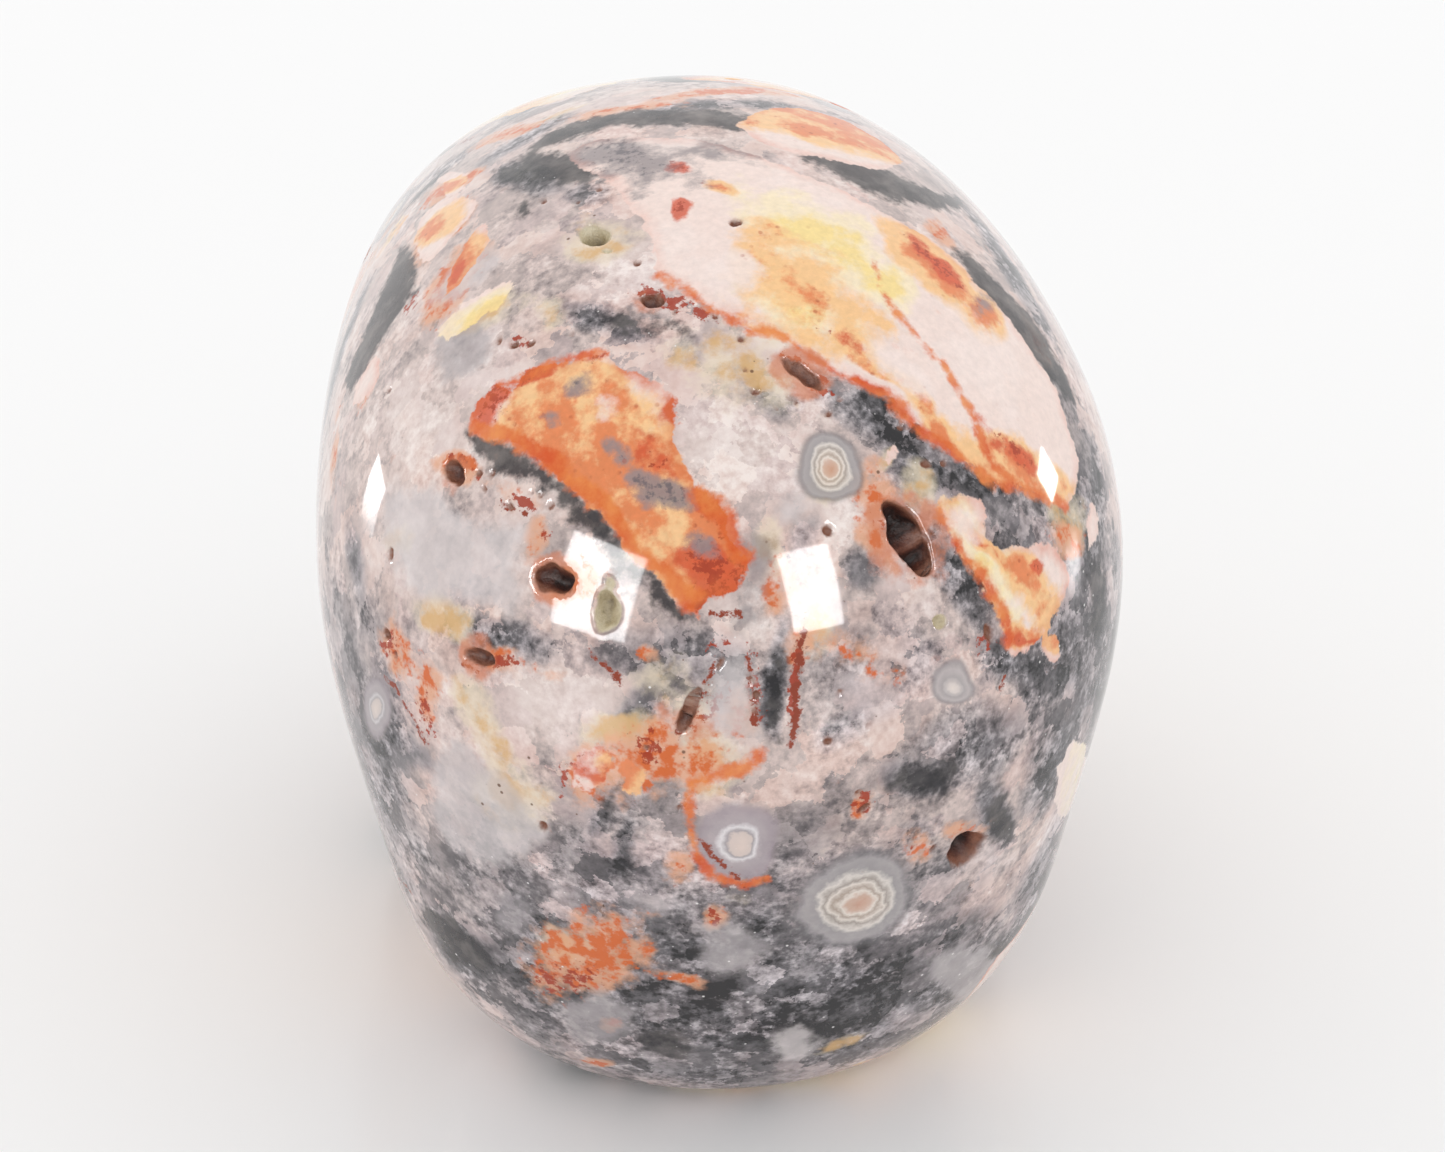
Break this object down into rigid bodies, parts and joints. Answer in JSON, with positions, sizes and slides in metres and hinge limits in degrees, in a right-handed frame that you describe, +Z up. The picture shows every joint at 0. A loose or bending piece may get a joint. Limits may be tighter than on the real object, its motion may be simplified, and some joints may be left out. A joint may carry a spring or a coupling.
{
  "type": "skull carving",
  "caption": "Small human skull carved and polished from one piece of crazy lace agate, with deep eye sockets, open pits in the stone and a flat ground to rest on.",
  "frame": {"origin": "on the surface that the skull rests on, below the middle of its box", "axes": "+Y towards the back of the head, so the face looks towards -Y; +Z up; +X is to the skull's left"},
  "size_m": [0.0364, 0.0528, 0.0422],
  "materials": {
    "agate": "polished crazy lace agate: grey and white chalcedony with orange, yellow and charcoal patches"
  },
  "bodies": {
    "root": {"skull": "agate"}
  },
  "joints": []
}
